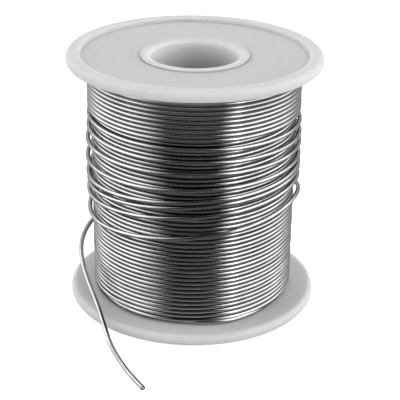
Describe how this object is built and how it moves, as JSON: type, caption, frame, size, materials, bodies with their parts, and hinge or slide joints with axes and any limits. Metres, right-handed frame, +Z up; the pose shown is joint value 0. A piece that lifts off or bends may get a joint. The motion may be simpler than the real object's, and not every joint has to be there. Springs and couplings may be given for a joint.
{
  "type": "solder wire spool",
  "caption": "Cylindrical plastic spool with two round flanges and a through bore, wound with thin solder wire whose upper turns are loose and whose free end trails onto the table.",
  "frame": {"origin": "centre of the spool's underside, where the lower flange stands on the table", "axes": "+Z up along the bore, +Y away from the viewer who sees the free end of the wire come forward, +X to that viewer's right"},
  "size_m": [0.057, 0.0747, 0.0588],
  "materials": {
    "spool_plastic": "satin",
    "solder": "satin",
    "flux": "gloss"
  },
  "bodies": {
    "root": {"upper_flange": "spool_plastic", "lower_flange": "spool_plastic", "core_tube": "spool_plastic", "wire_layer_01": "solder", "wire_layer_02": "solder", "wire_layer_03": "solder", "wire_layer_04": "solder", "wire_layer_05": "solder", "wire_layer_06": "solder", "wire_layer_07": "solder", "wire_layer_08": "solder", "wire_layer_09": "solder", "wire_layer_10": "solder", "wire_layer_11": "solder", "wire_layer_12": "solder", "loose_turns": "solder", "wire_tail": "solder", "flux_core": "flux"}
  },
  "joints": []
}
